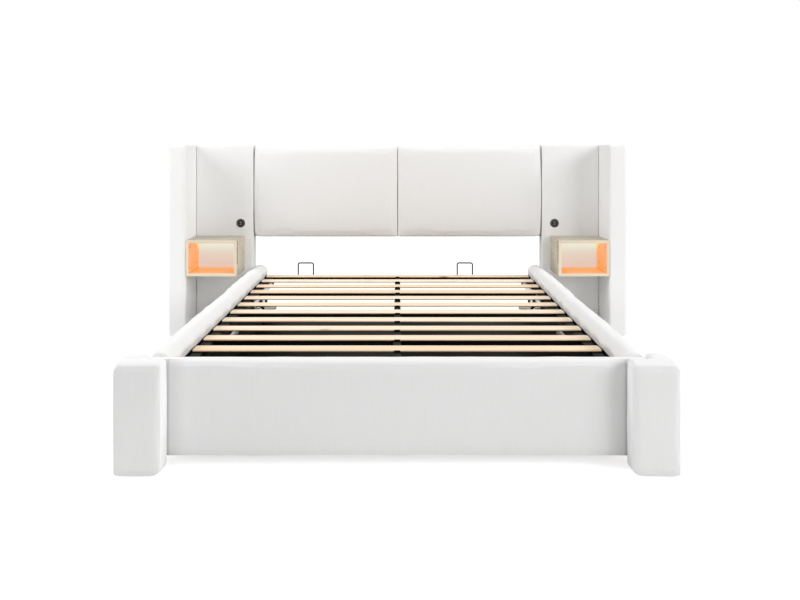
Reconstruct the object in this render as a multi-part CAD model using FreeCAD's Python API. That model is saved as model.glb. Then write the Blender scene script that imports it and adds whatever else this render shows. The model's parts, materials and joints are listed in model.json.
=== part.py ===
import FreeCAD, Part
import math
import os

# Storage bed with an upholstered frame and a slatted platform that lifts on two gas springs.
# Lengths are millimetres, angles degrees. +X is the viewer's right from the foot end,
# +Y runs from the foot to the headboard, +Z is up. The origin is on the floor, in the
# middle of the footprint. Left and right are as seen from the foot end.

# Mattress and the well that takes it
mattress_length = 2032.0
mattress_width = 1524.0
mattress_side_squeeze = 7.0
mattress_end_gap = 9.0

# Upholstered panels of the base
rail_thickness = 80.0
rail_bottom = 41.0
rail_top = 366.0
rail_top_radius = 38.0
rail_bottom_radius = 9.0
rail_end_draw = 8.0
rail_end_roll = 26.0
# along the roll, then draw on the inner side, on the outer side, below and above
rail_end_shares = ((0.0, 0.5, 1.0, 0.4, 0.6), (0.3, 0.15, 0.35, 0.1, 0.2), (1.0, 0.0, 0.0, 0.0, 0.0))
rail_board_thickness = 22.0
rail_board_top = 305.0
fabric_wrap = 4.0
footboard_thickness = 75.0
footboard_top = 356.0
footboard_top_radius = 28.0
footboard_back_radius = 34.0

# Corner posts at the foot
post_width = 157.0
post_reach = 75.0
post_top = 367.0
post_side_thickness = 70.0
post_side_length = 98.0
post_outer_top_radius = 26.0
post_inner_bottom_radius = 40.0
post_outer_bottom_radius = 11.0
post_inner_top_radius = 14.0
post_front_top_draw = 18.0
post_front_side_draw = 6.0
post_front_roll = 46.0
# along the roll, then draw at the sides and above
post_front_shares = ((0.0, 1.0, 1.0), (0.15, 0.4, 0.5), (0.5, 0.1, 0.17), (1.0, 0.0, 0.0))
post_side_roll = 64.0
post_side_draw = 18.0
post_side_top_draw = 30.0
# along the roll, then draw at the sides and above
post_side_shares = ((1.0, 0.0, 0.0), (0.55, 0.1, 0.13), (0.2, 0.4, 0.45), (0.0, 1.0, 1.0))
post_board_thickness = 24.0
post_board_top = 330.0
post_board_margin = 20.0

# Floor contact
glide_height = 3.0
glide_width = 22.0
glide_edge = 48.0

# Headboard
headboard_height = 1057.0
headboard_thickness = 100.0
column_width = 330.0
column_edge_radius = 11.0
column_past_well = 84.0
cushion_gap = 3.0
cushion_bottom = 523.0
cushion_top = 1052.0
cushion_back_inset = 54.5
cushion_proud = 12.0
cushion_edge_depth = 14.0
cushion_corner_radius = 34.0
cushion_top_radius = 12.0
# of the swell, then inset and corner radius as shares of the half height
cushion_crown_shares = (
    (0.0, 0.0, 0.0), (0.5, 0.045, 0.05), (0.87, 0.22, 0.25), (1.0, 0.6, 0.35),
)
back_panel_board = 16.0
back_panel_batten = 58.0
wing_thickness = 96.0
wing_reach = 243.0
wing_gap = 1.0

# Bedside shelf boxes
shelf_width = 282.0
shelf_height = 198.0
shelf_bottom = 332.0
shelf_board = 16.0
shelf_back = 4.0
shelf_groove_width = 5.0
shelf_groove_depth = 2.0
shelf_groove_setback = 7.0
shelf_groove_length = 132.0
strip_width = 10.0
strip_height = 6.0
screw_head_radius = 4.0
screw_head_height = 1.2
screw_head_sides = 12
screw_inset_front = 30.0
screw_inset_back = 70.0
screw_inset_side = 26.0

# Charging sockets on the columns
socket_above_shelf = 73.0
socket_from_edge = 72.0
socket_radius = 25.0
socket_flange = 2.5
socket_body_radius = 21.0
socket_bore_radius = 17.0
socket_depth = 30.0
socket_recess = 1.2
port_width = 9.0
port_height = 3.0
port_depth = 7.0
port_pitch = 11.0

# Storage floor under the platform
floor_top = 64.0
floor_thickness = 6.0
ledge_width = 20.0
bearer_width = 42.0
bearer_count = 4
bearer_end_inset = 85.0
leg_width = 40.0
leg_spread = 400.0
floor_play = 1.0

# Lifting platform
platform_side_gap = 12.0
platform_end_gap = 5.5
tube_size = 38.0
tube_wall = 2.0
tube_edge_bevel = 1.5
centre_tube_width = 30.0
slat_count = 12
slat_width = 72.0
slat_thickness = 8.0
slat_top = 314.0
slat_head_margin = 59.0
slat_foot_margin = 55.7
slat_corner_bevel = 4.0
slat_pad = 2.0
slat_pad_inset = 4.0
clip_width = 22.0
clip_lip = 3.0
clip_lip_drop = 1.0
cross_tube_under_slats = (4, 7, 10)

# Wire stops that keep the mattress off the headboard
stop_wire_radius = 4.0
stop_wire_sides = 12
stop_width = 96.0
stop_rise = 62.0
stop_bend_radius = 14.0
stop_left_x = -533.0
stop_right_x = 390.0
stop_hold = 34.0

# Gas lift, one set on each side. Places are in the side view, from the hinge pin.
hinge_from_head = 165.5
hinge_pin_radius = 6.0
pin_clearance = 0.08
pin_collar_radius = 11.0
pin_nut_radius = 10.0
pin_nut_height = 6.0
arm_thickness = 6.0
arm_height = 34.0
arm_tail = 30.0
arm_lug_radius = 14.0
base_plate_thickness = 6.0
base_plate_margin = 26.0
base_plate_corner = 14.0
cylinder_stud_back = 21.0
cylinder_stud_drop = 135.0
rod_stud_back = 575.0
rod_stud_drop = 38.0
stud_radius = 5.0
stud_shoulder_radius = 8.0
stud_head_radius = 8.5
stud_head_height = 3.5
eye_radius = 11.0
eye_width = 12.0
side_play = 0.3
cylinder_outer_radius = 12.0
cylinder_bore_radius = 10.2
cylinder_length = 440.0
cylinder_neck_length = 16.0
cylinder_neck_radius = 5.6
rod_radius = 4.0
rod_guide_overlap = 157.0
strut_tube_gap = 8.0

# Sheet metal brackets and their bolts
bracket_thickness = 4.0
bracket_leg = 66.0
bracket_bottom = 90.0
head_bracket_top = 290.0
joiner_length = 240.0
joiner_bottom = 140.0
joiner_height = 64.0
joiner_bolt_shares = (0.35, 0.85)
bolt_head_radius = 7.5
bolt_head_height = 3.6
bolt_inset = 22.0

# Straight steps in each rounded corner of a padded outline, and the least flat between two corners
corner_steps = 5
corner_flat = 4.0

overrun = 1.0

# Places worked out from the sizes above
well_half = mattress_width / 2 - mattress_side_squeeze
well_length = mattress_length + 2 * mattress_end_gap
overall_length = post_reach + footboard_thickness + well_length + headboard_thickness
y_front = -overall_length / 2
y_footboard = y_front + post_reach
y_foot = y_footboard + footboard_thickness
y_head = y_foot + well_length
y_back = y_head + headboard_thickness
y_rail_end = y_head - bracket_thickness
y_seam = (y_foot + y_rail_end) / 2
rail_outer = well_half + rail_thickness
post_outer = rail_outer + post_side_thickness
post_inner = post_outer - post_width
column_inner = well_half + column_past_well
cushion_width = column_inner - cushion_gap
column_outer = column_inner + column_width
wing_inner = column_outer + wing_gap
wing_outer = wing_inner + wing_thickness
y_wing_front = y_head - wing_reach
cushion_seat = y_head + cushion_back_inset
tube_top = slat_top - slat_thickness - slat_pad
tube_bottom = tube_top - tube_size
platform_half = well_half - platform_side_gap
tube_inner = platform_half - tube_size
y_platform_foot = y_foot + platform_end_gap
y_platform_head = y_head - platform_end_gap
slat_pitch = (well_length - slat_head_margin - slat_foot_margin - slat_width) / (slat_count - 1)
y_hinge = y_head - hinge_from_head
z_hinge = (tube_top + tube_bottom) / 2
y_cylinder = y_hinge - cylinder_stud_back
z_cylinder = z_hinge - cylinder_stud_drop
y_rod = y_hinge - rod_stud_back
z_rod = z_hinge - rod_stud_drop
plate_face = well_half - base_plate_thickness
arm_inner = tube_inner - arm_thickness
strut_x = arm_inner - strut_tube_gap - eye_width / 2
floor_bottom = floor_top - floor_thickness
shelf_top = shelf_bottom + shelf_height
socket_height = shelf_top + socket_above_shelf
shelf_inner = column_outer - shelf_width + wing_gap
shelf_outer = wing_inner


def vec(x, y, z):
    return FreeCAD.Vector(x, y, z)


def block(x0, x1, y0, y1, z0, z1):
    return Part.makeBox(x1 - x0, y1 - y0, z1 - z0, vec(x0, y0, z0))


def rod_x(x0, x1, y, z, radius):
    """A round bar along X from x0 to x1."""
    return Part.makeCylinder(radius, x1 - x0, vec(x0, y, z), vec(1, 0, 0))


def rod_y(x, y0, y1, z, radius):
    """A round bar along Y from y0 to y1."""
    return Part.makeCylinder(radius, y1 - y0, vec(x, y0, z), vec(0, 1, 0))


def joined(shapes):
    """One solid from shapes that touch or overlap."""
    whole = shapes[0]
    for shape in shapes[1:]:
        whole = whole.fuse(shape)
    return whole.removeSplitter()


def straight_edges(shape, chosen):
    """The straight edges for which chosen(mid point, direction) is true."""
    edges = []
    for edge in shape.Edges:
        if not isinstance(edge.Curve, Part.Line):
            continue
        a = edge.Vertexes[0].Point
        b = edge.Vertexes[-1].Point
        if chosen((a + b) * 0.5, (b - a).normalize()):
            edges.append(edge)
    return edges


def eased(shape, radius, chosen):
    return shape.makeFillet(radius, straight_edges(shape, chosen))


def bevelled(shape, size, chosen):
    return shape.makeChamfer(size, straight_edges(shape, chosen))


def mirrored(shape):
    return shape.mirror(vec(0, 0, 0), vec(1, 0, 0))


def placed(side, shape):
    """Shapes are drawn on the right; side -1 gives the left one."""
    return shape if side > 0 else mirrored(shape)


def save(name, shapes):
    """Writes one node, a solid or a group of separate solids."""
    solids = []
    for shape in shapes:
        solids.extend(shape.Solids)
    node = solids[0] if len(solids) == 1 else Part.makeCompound(solids)
    node.exportStep(os.path.join("parts", name + ".step"))
    print(name, len(solids), "solids", round(sum(s.Volume for s in solids) / 1000.0, 1), "cm3")


def section(u0, u1, z0, z1, radii, place):
    """A closed outline with four rounded corners, each turned in short straight steps.

    u runs sideways and z up; radii go round from the low corner at u0, counter-clockwise.
    place(u, z) gives the point in space.
    """
    corners = ((u0, z0, 1, 1), (u1, z0, -1, 1), (u1, z1, -1, -1), (u0, z1, 1, -1))
    points = []
    for index, (u, z, side, level) in enumerate(corners):
        radius = min(radii[index], (u1 - u0 - corner_flat) / 2)
        start = math.pi + index * math.pi / 2
        for step in range(corner_steps + 1):
            angle = start + step * math.pi / 2 / corner_steps
            points.append(place(
                u + side * radius + radius * math.cos(angle),
                z + level * radius + radius * math.sin(angle)))
    return points + points[:1]


def panelled(outlines):
    """A solid closed by flat faces from each outline to the next."""
    faces = [Part.Face(Part.makePolygon(outlines[0])), Part.Face(Part.makePolygon(outlines[-1]))]
    for near, far in zip(outlines, outlines[1:]):
        for index in range(len(near) - 1):
            corners = [near[index], near[index + 1], far[index + 1], far[index], near[index]]
            faces.append(Part.Face(Part.makePolygon(corners)))
    shell = Part.makeShell(faces)
    shell.sewShape()
    solid = Part.makeSolid(shell)
    if solid.Volume < 0:
        solid.reverse()
    return solid


def soft_block_y(x0, x1, z0, z1, radii, steps):
    """A padded block along Y. steps are (y, draw at x0, draw at x1, draw below, draw above)."""
    outlines = []
    for y, draw0, draw1, draw_low, draw_high in steps:
        outlines.append(section(
            x0 + draw0, x1 - draw1, z0 + draw_low, z1 - draw_high, radii,
            lambda u, z, y=y: vec(u, y, z)))
    return panelled(outlines)


def padded_panel(x0, x1, y0, y1, z0, z1, radius):
    """An upholstered upright: every edge eased but those of the back and the underside."""
    middle = (y0 + y1) / 2

    def shown(mid, way):
        return abs(way.z) > 0.5 and mid.y < middle or mid.z > z1 - radius and mid.y < y1 - radius

    return eased(block(x0, x1, y0, y1, z0, z1), radius, shown)


def square_tube_y(x0, x1, y0, y1, z0, z1):
    """A square steel tube along Y with open ends."""
    outer = bevelled(block(x0, x1, y0, y1, z0, z1), tube_edge_bevel, lambda mid, way: abs(way.y) > 0.5)
    inner = block(x0 + tube_wall, x1 - tube_wall, y0 - overrun, y1 + overrun, z0 + tube_wall, z1 - tube_wall)
    return outer.cut(inner)


def square_tube_x(x0, x1, y0, y1, z0, z1):
    """A square steel tube along X with open ends."""
    outer = bevelled(block(x0, x1, y0, y1, z0, z1), tube_edge_bevel, lambda mid, way: abs(way.x) > 0.5)
    inner = block(x0 - overrun, x1 + overrun, y0 + tube_wall, y1 - tube_wall, z0 + tube_wall, z1 - tube_wall)
    return outer.cut(inner)


def disc(centre, radius, sides, across):
    """A many-sided outline round a centre; across(a, b) turns an offset into space."""
    corners = []
    for index in range(sides + 1):
        angle = 2 * math.pi * index / sides
        corners.append(centre + across(radius * math.cos(angle), radius * math.sin(angle)))
    return Part.Face(Part.makePolygon(corners))


def bolt_out(x, y, z):
    """The hexagon head of a bolt that goes outwards along X, seated on the face at x."""
    face = disc(vec(x, y, z), bolt_head_radius, 6, lambda a, b: vec(0, a, b))
    return face.extrude(vec(-bolt_head_height, 0, 0))


def bolt_foot(x, y, z):
    """The hexagon head of a bolt that goes towards the foot, seated on the face at y."""
    face = disc(vec(x, y, z), bolt_head_radius, 6, lambda a, b: vec(a, 0, b))
    return face.extrude(vec(0, bolt_head_height, 0))


def rail_bolts():
    """Every bolt head on the right-hand side of the base, by what it holds."""
    bolts = []
    for height in (bracket_bottom + bolt_inset, tube_bottom - 2 * bolt_inset):
        bolts.append(bolt_out(well_half - bracket_thickness, y_foot + bracket_leg - bolt_inset, height))
        bolts.append(bolt_foot(well_half - 2 * bolt_inset, y_foot + bracket_thickness, height))
    for height in (bracket_bottom + bolt_inset, head_bracket_top - bolt_inset):
        bolts.append(bolt_foot(well_half + rail_board_thickness / 2, y_head, height))
        bolts.append(bolt_out(column_inner - bracket_thickness, y_head + bracket_leg - bolt_inset, height))
    for end in (-1, 1):
        for share in joiner_bolt_shares:
            bolts.append(bolt_out(
                well_half - bracket_thickness, y_seam + end * share * joiner_length / 2,
                joiner_bottom + joiner_height / 2))
    for height in (z_cylinder - bolt_head_radius, z_hinge - base_plate_margin):
        for y in (y_cylinder - base_plate_margin, y_hinge + base_plate_margin):
            y_bolt = y + math.copysign(bolt_inset / 2, (y_cylinder + y_hinge) / 2 - y)
            bolts.append(bolt_out(plate_face, y_bolt, height))
    return bolts


def rail_pad(side, y0, y1):
    """One padded side rail length: full round top, ends drawn in, pocket for its board."""
    steps = []
    for along_share, *draw_shares in rail_end_shares:
        steps.append((y0 + along_share * rail_end_roll, *(share * rail_end_draw for share in draw_shares)))
    for along_share, *draw_shares in reversed(rail_end_shares):
        steps.append((y1 - along_share * rail_end_roll, *(share * rail_end_draw for share in draw_shares)))
    radii = (rail_bottom_radius, rail_bottom_radius, rail_top_radius, rail_top_radius)
    pad = soft_block_y(well_half, rail_outer, rail_bottom, rail_top, radii, steps)
    pocket = block(
        well_half - overrun, well_half + rail_board_thickness, y0 - overrun, y1 + overrun,
        rail_bottom + fabric_wrap, rail_board_top)
    return placed(side, pad.cut(pocket))


def side_rails():
    lengths = (("foot", y_foot, y_seam), ("head", y_seam, y_rail_end))
    for side, name in ((-1, "left"), (1, "right")):
        boards = []
        for end, y0, y1 in lengths:
            save("side_rail_pad_" + name + "_" + end, [rail_pad(side, y0, y1)])
            board = block(
                well_half, well_half + rail_board_thickness, y0, y1, rail_bottom + fabric_wrap,
                rail_board_top)
            boards.append(placed(side, board))
        save("side_rail_boards_" + name, boards)


def footboard():
    """Padded front panel between the rails' outer faces, with its board behind."""
    radii = (rail_bottom_radius, rail_bottom_radius, footboard_back_radius, footboard_top_radius)
    outlines = []
    for x in (-rail_outer, rail_outer):
        outlines.append(section(
            y_footboard, y_foot, rail_bottom, footboard_top, radii, lambda u, z, x=x: vec(x, u, z)))
    pad = panelled(outlines)
    board = block(
        -rail_outer, rail_outer, y_foot - rail_board_thickness, y_foot, rail_bottom + fabric_wrap,
        rail_board_top)
    pocket = block(
        -rail_outer - overrun, rail_outer + overrun, y_foot - rail_board_thickness, y_foot + overrun,
        rail_bottom + fabric_wrap, rail_board_top)
    save("footboard_pad", [pad.cut(pocket)])
    save("footboard_board", [board])


def post_board(side):
    """The timber angle inside a corner post: a front board and a side board."""
    front = block(
        post_inner + post_inner_bottom_radius, rail_outer + post_board_thickness,
        y_footboard - post_board_thickness, y_footboard, glide_height, post_board_top)
    flank = block(
        rail_outer, rail_outer + post_board_thickness, y_footboard,
        y_footboard + post_side_length - post_board_margin, glide_height, post_board_top)
    return placed(side, joined([front, flank]))


def post_front_pad(side):
    """The slab in front of the footboard: rolled front edges, one large low inner corner."""
    radii = (
        post_inner_bottom_radius, post_outer_bottom_radius, post_outer_top_radius, post_inner_top_radius)
    steps = []
    for along_share, side_share, top_share in post_front_shares:
        steps.append((
            y_front + along_share * post_front_roll,
            side_share * post_front_side_draw, side_share * post_front_side_draw,
            0, top_share * post_front_top_draw))
    steps.append((y_footboard, 0, 0, 0, 0))
    slab = soft_block_y(post_inner, post_outer, glide_height, post_top, radii, steps)
    return placed(side, slab).cut(post_board(side))


def post_side_pad(side):
    """The pad that covers the outer face of the rail behind the front slab."""
    y_end = y_footboard + post_side_length
    radii = (
        post_outer_bottom_radius, post_outer_bottom_radius, post_outer_top_radius, post_outer_top_radius)
    draw = post_front_side_draw
    steps = [(y_footboard, draw / 2, draw, 0, draw), (y_footboard + 2 * draw, 0, 0, 0, 0)]
    for along_share, side_share, top_share in post_side_shares:
        steps.append((
            y_end - along_share * post_side_roll, side_share * draw, side_share * post_side_draw,
            0, top_share * post_side_top_draw))
    pad = soft_block_y(rail_outer, post_outer, glide_height, post_top, radii, steps)
    return placed(side, pad).cut(post_board(side))


def foot_posts():
    save("foot_post_frames", [post_board(-1), post_board(1)])
    for side, name in ((-1, "left"), (1, "right")):
        save("foot_post_front_pad_" + name, [post_front_pad(side)])
        save("foot_post_side_pad_" + name, [post_side_pad(side)])


def socket_places():
    return [side * (column_inner + socket_from_edge) for side in (-1, 1)]


def headboard_columns():
    for side, name, x_socket in zip((-1, 1), ("left", "right"), socket_places()):
        column = padded_panel(
            column_inner, column_outer, y_head, y_back, glide_height, headboard_height,
            column_edge_radius)
        hole = rod_y(
            x_socket, y_head - overrun, y_head + socket_depth + socket_recess, socket_height,
            socket_body_radius)
        save("headboard_column_" + name, [placed(side, column).cut(hole)])


def headboard_wings():
    for side, name in ((-1, "left"), (1, "right")):
        wing = padded_panel(
            wing_inner, wing_outer, y_wing_front, y_back, glide_height, headboard_height,
            column_edge_radius)
        save("headboard_wing_" + name, [placed(side, wing)])


def headboard_cushion(side):
    """A crowned panel: edge drawn back, face swelling to its middle, low outer corner rounded."""
    y_crown = y_head - cushion_proud
    y_edge = y_head + cushion_edge_depth
    swell = y_edge - y_crown
    half_height = (cushion_top - cushion_bottom) / 2
    seat_draw = cushion_edge_depth / 2
    steps = [(cushion_seat, seat_draw, 0.0), (y_edge + swell, 0.0, 0.0)]
    for depth_share, inset_share, radius_share in cushion_crown_shares:
        steps.append((y_edge - depth_share * swell, inset_share * half_height, radius_share * half_height))
    outlines = []
    for y, inset, extra in steps:
        low_outer = max(cushion_corner_radius, extra)
        others = max(cushion_top_radius, extra)
        outlines.append(section(
            cushion_gap / 6 + inset, cushion_width - inset, cushion_bottom + inset, cushion_top - inset,
            (others, low_outer, others, others), lambda u, z, y=y: vec(u, y, z)))
    return placed(side, panelled(outlines))


def headboard_middle():
    for side, name in ((-1, "left"), (1, "right")):
        save("headboard_cushion_" + name, [headboard_cushion(side)])
    tray = block(-column_inner, column_inner, cushion_seat, y_back, cushion_bottom, cushion_top)
    for side in (-1, 1):
        hollow = block(
            back_panel_batten / 2, column_inner - back_panel_batten, cushion_seat + back_panel_board,
            y_back + overrun, cushion_bottom + back_panel_batten, cushion_top - back_panel_batten)
        tray = tray.cut(placed(side, hollow))
    save("headboard_back_panel", [tray])


def front_rims(shape, y_face):
    """The round edges that lie in the plane y = y_face."""
    rims = []
    for edge in shape.Edges:
        if isinstance(edge.Curve, Part.Circle) and abs(edge.CenterOfMass.y - y_face) < side_play:
            rims.append(edge)
    return rims


def charging_sockets():
    bezels = []
    inserts = []
    for x in socket_places():
        y_face = y_head - socket_flange
        flange = rod_y(x, y_face, y_head, socket_height, socket_radius)
        flange = flange.makeChamfer(socket_flange / 2, front_rims(flange, y_face))
        sleeve = rod_y(x, y_head, y_head + socket_depth, socket_height, socket_body_radius)
        bore = rod_y(x, y_face - overrun, y_head + socket_depth + overrun, socket_height, socket_bore_radius)
        bezels.append(flange.fuse(sleeve).removeSplitter().cut(bore))
        y_insert = y_face + socket_recess
        insert = rod_y(x, y_insert, y_head + socket_depth, socket_height, socket_bore_radius)
        for level in (-1, 1):
            z = socket_height + level * port_pitch / 2
            port = block(
                x - port_width / 2, x + port_width / 2, y_insert - overrun, y_insert + port_depth,
                z - port_height / 2, z + port_height / 2)
            insert = insert.cut(port)
        inserts.append(insert)
    save("charging_bezels", bezels)
    save("charging_inserts", inserts)


def shelf_outline(points, y0, y1):
    """A board with mitred ends: its section in the front view, carried from y0 to y1."""
    wire = Part.makePolygon([vec(x, y0, z) for x, z in points + points[:1]])
    return Part.Face(wire).extrude(vec(0, y1 - y0, 0))


def shelf_boxes():
    inner0 = shelf_inner + shelf_board
    inner1 = shelf_outer - shelf_board
    low = shelf_bottom + shelf_board
    high = shelf_top - shelf_board
    outlines = {
        "top": [(shelf_inner, shelf_top), (shelf_outer, shelf_top), (inner1, high), (inner0, high)],
        "bottom": [
            (shelf_inner, shelf_bottom), (inner0, low), (inner1, low), (shelf_outer, shelf_bottom)],
        "inner_side": [
            (shelf_inner, shelf_bottom), (shelf_inner, shelf_top), (inner0, high), (inner0, low)],
        "outer_side": [
            (shelf_outer, shelf_bottom), (inner1, low), (inner1, high), (shelf_outer, shelf_top)],
    }
    groove = block(
        shelf_inner - overrun, shelf_inner + shelf_groove_depth,
        y_wing_front + shelf_groove_setback, y_wing_front + shelf_groove_setback + shelf_groove_width,
        shelf_top - shelf_groove_length, shelf_top + overrun)
    screws = []
    strips = []
    for side, name in ((-1, "left"), (1, "right")):
        for board, points in outlines.items():
            solid = shelf_outline(points, y_wing_front, y_head)
            if board == "inner_side":
                solid = solid.cut(groove)
            save("nightstand_" + name + "_" + board, [placed(side, solid)])
        back = block(inner0, inner1, y_head - shelf_back, y_head, low, high)
        save("nightstand_" + name + "_back", [placed(side, back)])
        for y, spread in ((y_wing_front + screw_inset_front, 0), (y_head - screw_inset_back, 1)):
            for z in (low + screw_inset_side, high - screw_inset_side):
                z_screw = z + spread * math.copysign(screw_inset_side / 2, (low + high) / 2 - z)
                face = disc(
                    vec(inner1, y, z_screw), screw_head_radius, screw_head_sides,
                    lambda a, b: vec(0, a, b))
                screws.append(placed(side, face.extrude(vec(-screw_head_height, 0, 0))))
        strip = block(
            inner0, inner1, y_head - shelf_back - strip_width, y_head - shelf_back, high - strip_height,
            high)
        strip = eased(
            strip, strip_height / 3, lambda mid, way: abs(way.x) > 0.5 and mid.y < y_head - strip_width
            and mid.z < high - strip_height / 2)
        strips.append(placed(side, strip))
    save("nightstand_screws", screws)
    save("light_strips", strips)


def base_brackets():
    """Steel angles at the four corners and flat plates across the rail seams."""
    brackets = []
    for side in (-1, 1):
        rail_leg = block(
            well_half - bracket_thickness, well_half, y_foot, y_foot + bracket_leg, bracket_bottom,
            tube_bottom - side_play)
        front_leg = block(
            well_half - bracket_leg, well_half, y_foot, y_foot + bracket_thickness, bracket_bottom,
            tube_bottom - side_play)
        rest = block(
            well_half - bracket_leg, well_half, y_foot, y_foot + bracket_leg,
            tube_bottom - side_play - bracket_thickness, tube_bottom - side_play)
        foot_angle = joined([rail_leg, front_leg, rest])
        end_leg = block(
            well_half, column_inner, y_head - bracket_thickness, y_head, bracket_bottom, head_bracket_top)
        column_leg = block(
            column_inner - bracket_thickness, column_inner, y_head - bracket_thickness,
            y_head + bracket_leg, bracket_bottom, head_bracket_top)
        head_angle = joined([end_leg, column_leg])
        plate = block(
            well_half - bracket_thickness, well_half, y_seam - joiner_length / 2,
            y_seam + joiner_length / 2, joiner_bottom, joiner_bottom + joiner_height)
        plate = eased(plate, joiner_height / 6, lambda mid, way: abs(way.x) > 0.5)
        for bracket in (foot_angle, head_angle, plate):
            brackets.append(placed(side, bracket))
    save("rail_brackets", brackets)
    save("frame_bolts", [placed(side, bolt) for side in (-1, 1) for bolt in rail_bolts()])


def storage_floor():
    """Two thin panels on ledges and cross bearers, with legs under the bearers."""
    panels = []
    for side in (-1, 1):
        panel = block(
            floor_play / 2, well_half - bracket_thickness - floor_play, y_foot + floor_play,
            y_rail_end - floor_play, floor_bottom, floor_top)
        panels.append(placed(side, panel))
    save("storage_floor_panels", panels)
    ledge = block(
        well_half - ledge_width, well_half, y_foot, y_rail_end, rail_bottom + fabric_wrap, floor_bottom)
    save("ledge_strips", [placed(side, ledge) for side in (-1, 1)])
    bearers = []
    legs = []
    first = y_foot + bearer_end_inset
    step = (well_length - 2 * bearer_end_inset) / (bearer_count - 1)
    half = well_half - ledge_width
    for index in range(bearer_count):
        y = first + index * step
        bearers.append(block(
            -half, half, y - bearer_width / 2, y + bearer_width / 2, rail_bottom + fabric_wrap,
            floor_bottom))
        for x in (-leg_spread, 0, leg_spread):
            legs.append(block(
                x - leg_width / 2, x + leg_width / 2, y - leg_width / 2, y + leg_width / 2, 0,
                rail_bottom + fabric_wrap))
    save("floor_bearers", bearers)
    save("support_legs", legs)


def floor_glides():
    """Small square pads that the posts, the columns and the wings stand on."""
    x_post = rail_outer + post_board_thickness / 2
    y_post = y_footboard - post_board_thickness / 2
    places = [
        (post_inner + post_inner_bottom_radius + glide_width, y_post),
        (x_post, y_footboard + post_side_length - post_board_margin - glide_width),
        (column_inner + glide_edge, (y_head + y_back) / 2),
        (column_outer - glide_edge, (y_head + y_back) / 2),
        ((wing_inner + wing_outer) / 2, y_wing_front + glide_edge),
        ((wing_inner + wing_outer) / 2, y_back - glide_edge),
    ]
    pucks = []
    for side in (-1, 1):
        for x, y in places:
            pucks.append(block(
                side * x - glide_width / 2, side * x + glide_width / 2, y - glide_width / 2,
                y + glide_width / 2, 0, glide_height))
    save("floor_glides", pucks)


def slat_front(number):
    """The foot-side edge of a slat; number 1 is at the head."""
    return y_head - slat_head_margin - slat_width - (number - 1) * slat_pitch


def slats():
    boards = []
    for number in range(1, slat_count + 1):
        y = slat_front(number)
        board = block(
            -platform_half, platform_half, y, y + slat_width, slat_top - slat_thickness, slat_top)
        boards.append(bevelled(board, slat_corner_bevel, lambda mid, way: abs(way.z) > 0.5))
    save("slats", boards)


def slat_seats():
    """Thin end pads on the side tubes and lipped clips on the centre tube."""
    pads = []
    clips = []
    for number in range(1, slat_count + 1):
        y = slat_front(number)
        for side in (-1, 1):
            pad = block(
                tube_inner + slat_pad_inset, platform_half - slat_pad_inset, y + slat_pad_inset,
                y + slat_width - slat_pad_inset, tube_top, tube_top + slat_pad)
            pads.append(placed(side, pad))
        seat = block(
            -clip_width / 2, clip_width / 2, y - clip_lip - side_play, y + slat_width + clip_lip + side_play,
            tube_top, tube_top + slat_pad)
        parts = [seat]
        for y0 in (y - clip_lip - side_play, y + slat_width + side_play):
            parts.append(block(
                -clip_width / 2, clip_width / 2, y0, y0 + clip_lip, tube_top, slat_top - clip_lip_drop))
        clips.append(joined(parts))
    save("slat_end_pads", pads)
    save("slat_centre_clips", clips)


def platform_tubes():
    """Welded steel frame: two side tubes, head and foot tubes, a centre tube and cross tubes."""
    bore = rod_x(
        arm_inner - overrun, platform_half + overrun, y_hinge, z_hinge, hinge_pin_radius + pin_clearance)
    for side, name in ((-1, "left"), (1, "right")):
        tube = square_tube_y(
            tube_inner, platform_half, y_platform_foot, y_platform_head, tube_bottom, tube_top)
        save("platform_side_tube_" + name, [placed(side, tube.cut(bore))])
    save("platform_head_tube", [square_tube_x(
        -tube_inner, tube_inner, y_platform_head - tube_size, y_platform_head, tube_bottom, tube_top)])
    save("platform_foot_tube", [square_tube_x(
        -tube_inner, tube_inner, y_platform_foot, y_platform_foot + tube_size, tube_bottom, tube_top)])
    half = centre_tube_width / 2
    save("platform_centre_tube", [square_tube_y(
        -half, half, y_platform_foot + tube_size, y_platform_head - tube_size,
        tube_top - centre_tube_width, tube_top)])
    crossings = []
    for number in cross_tube_under_slats:
        y = slat_front(number) + slat_width / 2
        beside_arm = y_rod - arm_tail < y < y_hinge + arm_tail
        end = arm_inner if beside_arm else tube_inner
        for side in (-1, 1):
            crossings.append(placed(side, square_tube_x(
                half, end, y - half, y + half, tube_top - centre_tube_width, tube_top)))
    save("platform_cross_tubes", crossings)


def mattress_stops():
    """Bent wire hoops on the back of the head tube."""
    y = y_platform_head + stop_wire_radius
    low = tube_top - stop_hold
    high = slat_top + stop_rise - stop_wire_radius
    reach = stop_width / 2 - stop_wire_radius
    bend = stop_bend_radius - stop_wire_radius
    slant = bend * (1 - math.sqrt(0.5))
    hoops = []
    for x in (stop_left_x, stop_right_x):
        edges = [
            Part.LineSegment(vec(x - reach, y, low), vec(x - reach, y, high - bend)).toShape(),
            Part.Arc(
                vec(x - reach, y, high - bend), vec(x - reach + slant, y, high - slant),
                vec(x - reach + bend, y, high)).toShape(),
            Part.LineSegment(vec(x - reach + bend, y, high), vec(x + reach - bend, y, high)).toShape(),
            Part.Arc(
                vec(x + reach - bend, y, high), vec(x + reach - slant, y, high - slant),
                vec(x + reach, y, high - bend)).toShape(),
            Part.LineSegment(vec(x + reach, y, high - bend), vec(x + reach, y, low)).toShape(),
        ]
        ring = disc(vec(x - reach, y, low), stop_wire_radius, stop_wire_sides, lambda a, b: vec(a, b, 0))
        hoops.append(Part.Wire(edges).makePipeShell([ring.OuterWire], True, False))
    save("mattress_stops", hoops)


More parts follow.
